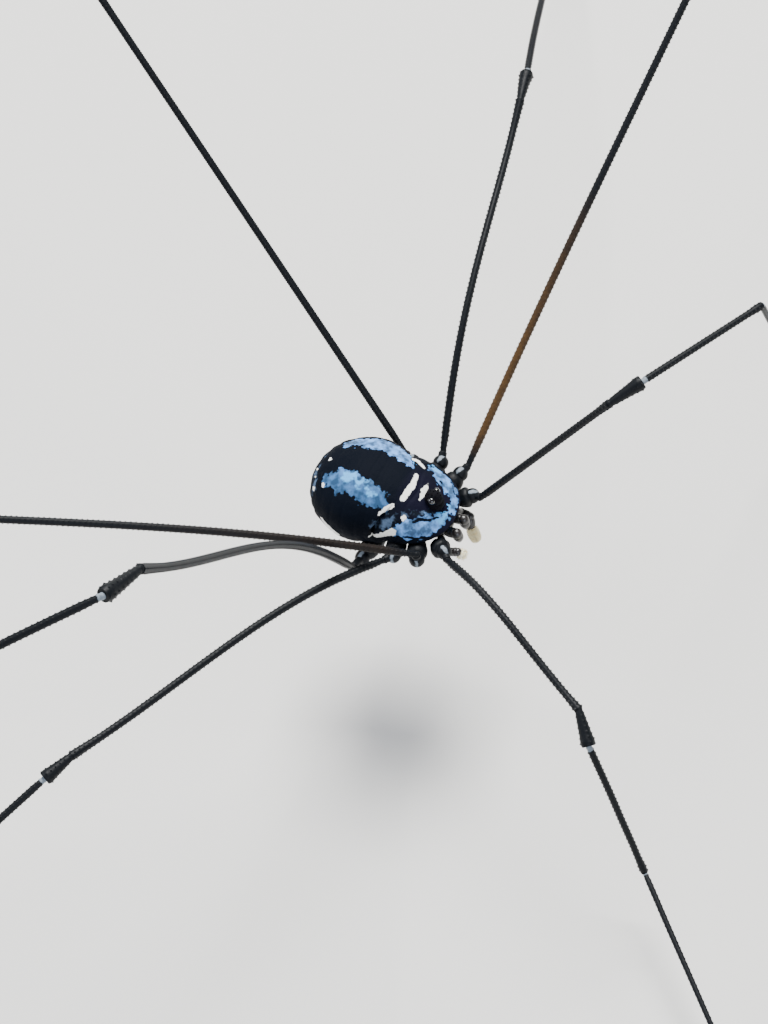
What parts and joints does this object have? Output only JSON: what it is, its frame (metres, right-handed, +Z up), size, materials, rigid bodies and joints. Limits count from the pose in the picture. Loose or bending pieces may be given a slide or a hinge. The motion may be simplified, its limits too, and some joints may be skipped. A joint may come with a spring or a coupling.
{
  "type": "harvestman",
  "caption": "Long-legged harvestman standing still, its small body slung low between high jointed legs, as a life-size display model.",
  "frame": {"origin": "on the floor, under the middle of the box that the legs reach", "axes": "+X the way the head points, +Y the animal's left, +Z up"},
  "size_m": [0.1184, 0.1504, 0.0315],
  "materials": {
    "back_shell": "black velvety shell with silver-blue flank bands and small white spots",
    "dark_shell": "dark brown-black glossy shell",
    "leg": "black, finely toothed, browner at the base, pale rings at the joints",
    "palp": "cream, dark at the base",
    "eye": "wet black"
  },
  "bodies": {
    "root": {"prosoma": "back_shell", "abdomen": "back_shell", "ocularium": "dark_shell", "chelicera_left": "dark_shell", "chelicera_right": "dark_shell", "palp_left": "palp", "palp_right": "palp", "eye_left": "eye", "eye_right": "eye", "leg_left_1_coxa": "leg", "leg_left_1_femur": "leg", "leg_left_1_patella": "leg", "leg_left_1_tibia": "leg", "leg_left_1_metatarsus": "leg", "leg_left_1_tarsus": "leg", "leg_left_2_coxa": "leg", "leg_left_2_femur": "leg", "leg_left_2_patella": "leg", "leg_left_2_tibia": "leg", "leg_left_2_metatarsus": "leg", "leg_left_2_tarsus": "leg", "leg_left_3_coxa": "leg", "leg_left_3_femur": "leg", "leg_left_3_patella": "leg", "leg_left_3_tibia": "leg", "leg_left_3_metatarsus": "leg", "leg_left_3_tarsus": "leg", "leg_left_4_coxa": "leg", "leg_left_4_femur": "leg", "leg_left_4_patella": "leg", "leg_left_4_tibia": "leg", "leg_left_4_metatarsus": "leg", "leg_left_4_tarsus": "leg", "leg_right_1_coxa": "leg", "leg_right_1_femur": "leg", "leg_right_1_patella": "leg", "leg_right_1_tibia": "leg", "leg_right_1_metatarsus": "leg", "leg_right_1_tarsus": "leg", "leg_right_2_coxa": "leg", "leg_right_2_femur": "leg", "leg_right_2_patella": "leg", "leg_right_2_tibia": "leg", "leg_right_2_metatarsus": "leg", "leg_right_2_tarsus": "leg", "leg_right_3_coxa": "leg", "leg_right_3_femur": "leg", "leg_right_3_patella": "leg", "leg_right_3_tibia": "leg", "leg_right_3_metatarsus": "leg", "leg_right_3_tarsus": "leg", "leg_right_4_coxa": "leg", "leg_right_4_femur": "leg", "leg_right_4_patella": "leg", "leg_right_4_tibia": "leg", "leg_right_4_metatarsus": "leg", "leg_right_4_tarsus": "leg"}
  },
  "joints": []
}
